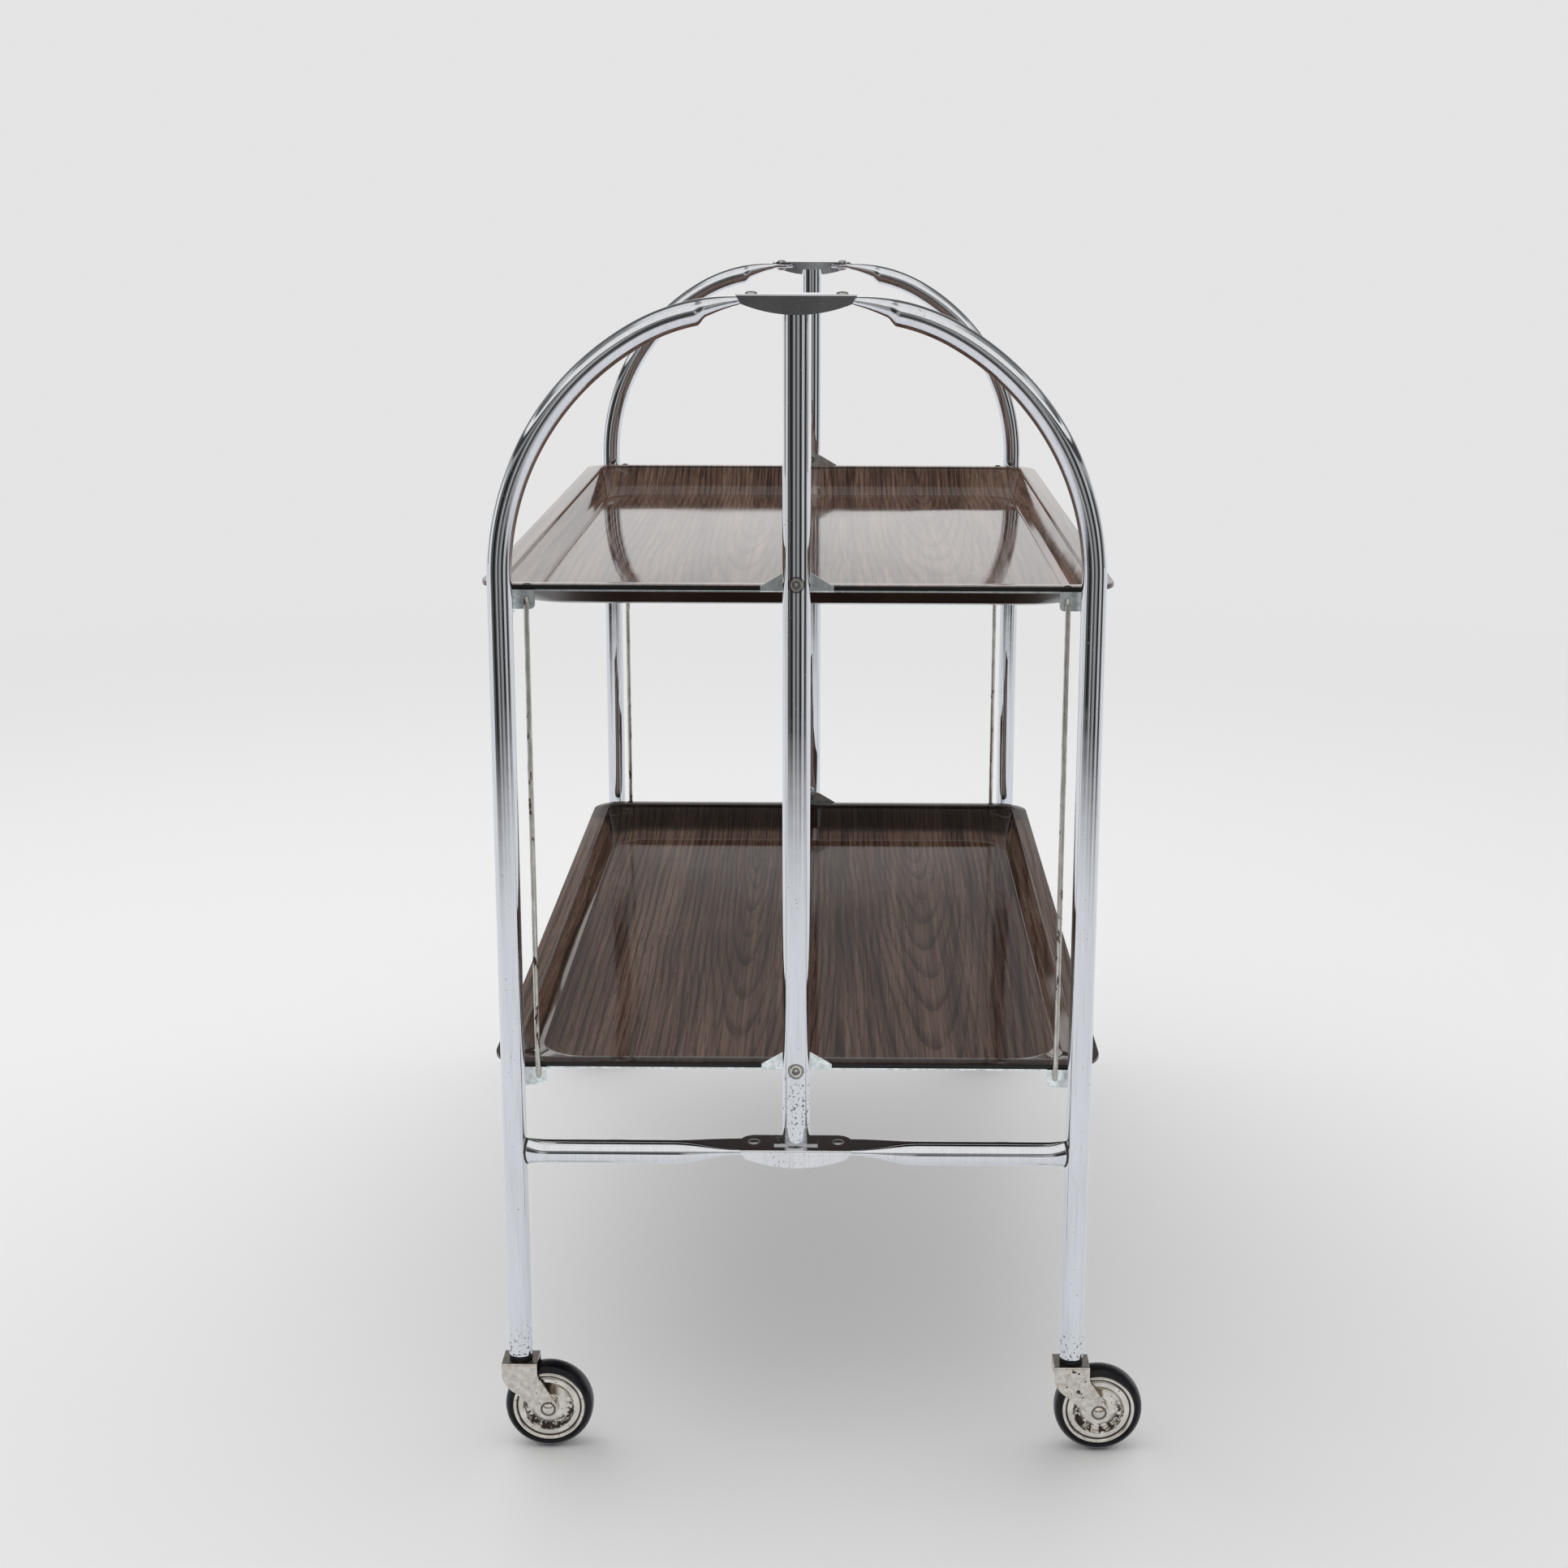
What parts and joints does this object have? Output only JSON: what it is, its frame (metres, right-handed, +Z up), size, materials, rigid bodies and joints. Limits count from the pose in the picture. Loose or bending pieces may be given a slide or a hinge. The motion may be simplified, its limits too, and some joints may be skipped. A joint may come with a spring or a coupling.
{
  "type": "folding tea trolley",
  "caption": "Folding tea trolley: two dished trays that tilt together between arched tube end frames, on swivel casters.",
  "frame": {"origin": "on the floor under the middle of the open trolley", "axes": "+X across the trolley, +Y along the trays from the front end to the rear end, +Z up"},
  "size_m": [0.473, 0.791, 0.778],
  "materials": {
    "chrome_tube": "polished, lightly worn chrome plate",
    "bracket_metal": "worn chrome plate",
    "rivet_metal": "dull rivet steel",
    "zinc_sheet": "mottled zinc plate",
    "zinc_rod": "dull plated wire with rust spots",
    "worn_nickel": "worn nickel plate",
    "tyre_rubber": "matt black rubber",
    "black_bush": "black bush",
    "wood_laminate": "glossy dark rosewood laminate",
    "dark_rivet": "dark flat rivet"
  },
  "bodies": {
    "frame": {"front_post": "chrome_tube", "front_post_foot": "bracket_metal", "front_top_bracket": "bracket_metal", "front_bottom_bracket": "bracket_metal", "front_hinge_rivets": "rivet_metal", "front_tray_pivots": "rivet_metal", "front_pivot_spacers": "zinc_sheet", "rear_post": "chrome_tube", "rear_post_foot": "bracket_metal", "rear_top_bracket": "bracket_metal", "rear_bottom_bracket": "bracket_metal", "rear_hinge_rivets": "rivet_metal", "rear_tray_pivots": "rivet_metal", "rear_pivot_spacers": "zinc_sheet"},
    "upper_tray": {"upper_tray": "wood_laminate", "upper_front_rail": "zinc_sheet", "upper_rear_rail": "zinc_sheet", "upper_rail_rivets": "dark_rivet"},
    "lower_tray": {"lower_tray": "wood_laminate", "lower_front_rail": "zinc_sheet", "lower_rear_rail": "zinc_sheet", "lower_rail_rivets": "dark_rivet"},
    "front_right_rod": {"front_right_link_rod": "zinc_rod"},
    "front_right_wing": {"front_right_wing_tube": "chrome_tube", "front_right_crossbar": "chrome_tube", "front_right_caster_socket": "black_bush"},
    "front_right_caster": {"front_right_caster_fork": "worn_nickel", "front_right_caster_stem": "worn_nickel", "front_right_wheel_axle": "worn_nickel"},
    "front_right_wheel": {"front_right_wheel_disc": "worn_nickel", "front_right_tyre": "tyre_rubber"},
    "front_left_rod": {"front_left_link_rod": "zinc_rod"},
    "front_left_wing": {"front_left_wing_tube": "chrome_tube", "front_left_crossbar": "chrome_tube", "front_left_caster_socket": "black_bush"},
    "front_left_caster": {"front_left_caster_fork": "worn_nickel", "front_left_caster_stem": "worn_nickel", "front_left_wheel_axle": "worn_nickel"},
    "front_left_wheel": {"front_left_wheel_disc": "worn_nickel", "front_left_tyre": "tyre_rubber"},
    "rear_right_rod": {"rear_right_link_rod": "zinc_rod"},
    "rear_right_wing": {"rear_right_wing_tube": "chrome_tube", "rear_right_crossbar": "chrome_tube", "rear_right_caster_socket": "black_bush"},
    "rear_right_caster": {"rear_right_caster_fork": "worn_nickel", "rear_right_caster_stem": "worn_nickel", "rear_right_wheel_axle": "worn_nickel"},
    "rear_right_wheel": {"rear_right_wheel_disc": "worn_nickel", "rear_right_tyre": "tyre_rubber"},
    "rear_left_rod": {"rear_left_link_rod": "zinc_rod"},
    "rear_left_wing": {"rear_left_wing_tube": "chrome_tube", "rear_left_crossbar": "chrome_tube", "rear_left_caster_socket": "black_bush"},
    "rear_left_caster": {"rear_left_caster_fork": "worn_nickel", "rear_left_caster_stem": "worn_nickel", "rear_left_wheel_axle": "worn_nickel"},
    "rear_left_wheel": {"rear_left_wheel_disc": "worn_nickel", "rear_left_tyre": "tyre_rubber"}
  },
  "joints": [
    {"name": "tray_tilt", "type": "hinge", "parent": "frame", "child": "upper_tray", "pos_m": [0, 0, 0.597], "axis": [0, 1, 0], "range_deg": [0, 82]},
    {"name": "lower_tray_tilt", "type": "hinge", "parent": "frame", "child": "lower_tray", "pos_m": [0, 0, 0.274], "axis": [0, 1, 0], "range_deg": [0, 82]},
    {"name": "front_right_rod_swing", "type": "hinge", "parent": "upper_tray", "child": "front_right_rod", "pos_m": [0.173, -0.36365, 0.583], "axis": [0, 1, 0], "range_deg": [-82, 0]},
    {"name": "front_left_rod_swing", "type": "hinge", "parent": "upper_tray", "child": "front_left_rod", "pos_m": [-0.173, -0.36365, 0.583], "axis": [0, 1, 0], "range_deg": [-82, 0]},
    {"name": "rear_right_rod_swing", "type": "hinge", "parent": "upper_tray", "child": "rear_right_rod", "pos_m": [0.173, 0.36365, 0.583], "axis": [0, 1, 0], "range_deg": [-82, 0]},
    {"name": "rear_left_rod_swing", "type": "hinge", "parent": "upper_tray", "child": "rear_left_rod", "pos_m": [-0.173, 0.36365, 0.583], "axis": [0, 1, 0], "range_deg": [-82, 0]},
    {"name": "front_right_wing_fold", "type": "hinge", "parent": "frame", "child": "front_right_wing", "pos_m": [0.028, -0.38, 0.5], "axis": [0, 0, 1], "range_deg": [0, 85]},
    {"name": "front_left_wing_fold", "type": "hinge", "parent": "frame", "child": "front_left_wing", "pos_m": [-0.028, -0.38, 0.5], "axis": [0, 0, -1], "range_deg": [0, 85]},
    {"name": "rear_right_wing_fold", "type": "hinge", "parent": "frame", "child": "rear_right_wing", "pos_m": [0.028, 0.38, 0.5], "axis": [0, 0, -1], "range_deg": [0, 85]},
    {"name": "rear_left_wing_fold", "type": "hinge", "parent": "frame", "child": "rear_left_wing", "pos_m": [-0.028, 0.38, 0.5], "axis": [0, 0, 1], "range_deg": [0, 85]},
    {"name": "front_right_swivel", "type": "hinge", "parent": "front_right_wing", "child": "front_right_caster", "pos_m": [0.1875, -0.38, 0.065], "axis": [0, 0, 1], "continuous": true},
    {"name": "front_right_wheel_spin", "type": "hinge", "parent": "front_right_caster", "child": "front_right_wheel", "pos_m": [0.2065, -0.38, 0.03], "axis": [0, 1, 0], "continuous": true},
    {"name": "front_left_swivel", "type": "hinge", "parent": "front_left_wing", "child": "front_left_caster", "pos_m": [-0.1875, -0.38, 0.065], "axis": [0, 0, 1], "continuous": true},
    {"name": "front_left_wheel_spin", "type": "hinge", "parent": "front_left_caster", "child": "front_left_wheel", "pos_m": [-0.1685, -0.38, 0.03], "axis": [0, 1, 0], "continuous": true},
    {"name": "rear_right_swivel", "type": "hinge", "parent": "rear_right_wing", "child": "rear_right_caster", "pos_m": [0.1875, 0.38, 0.065], "axis": [0, 0, 1], "continuous": true},
    {"name": "rear_right_wheel_spin", "type": "hinge", "parent": "rear_right_caster", "child": "rear_right_wheel", "pos_m": [0.1685, 0.38, 0.03], "axis": [0, 1, 0], "continuous": true},
    {"name": "rear_left_swivel", "type": "hinge", "parent": "rear_left_wing", "child": "rear_left_caster", "pos_m": [-0.1875, 0.38, 0.065], "axis": [0, 0, 1], "continuous": true},
    {"name": "rear_left_wheel_spin", "type": "hinge", "parent": "rear_left_caster", "child": "rear_left_wheel", "pos_m": [-0.2065, 0.38, 0.03], "axis": [0, 1, 0], "continuous": true}
  ],
  "couplings": [
    {"joint": "lower_tray_tilt", "follows": "tray_tilt", "ratio": 1},
    {"joint": "front_right_rod_swing", "follows": "tray_tilt", "ratio": -1},
    {"joint": "front_left_rod_swing", "follows": "tray_tilt", "ratio": -1},
    {"joint": "rear_right_rod_swing", "follows": "tray_tilt", "ratio": -1},
    {"joint": "rear_left_rod_swing", "follows": "tray_tilt", "ratio": -1},
    {"joint": "front_right_wing_fold", "follows": "tray_tilt", "ratio": 0.09},
    {"joint": "front_left_wing_fold", "follows": "tray_tilt", "ratio": 0.09},
    {"joint": "rear_right_wing_fold", "follows": "tray_tilt", "ratio": 0.09},
    {"joint": "rear_left_wing_fold", "follows": "tray_tilt", "ratio": 0.09}
  ]
}
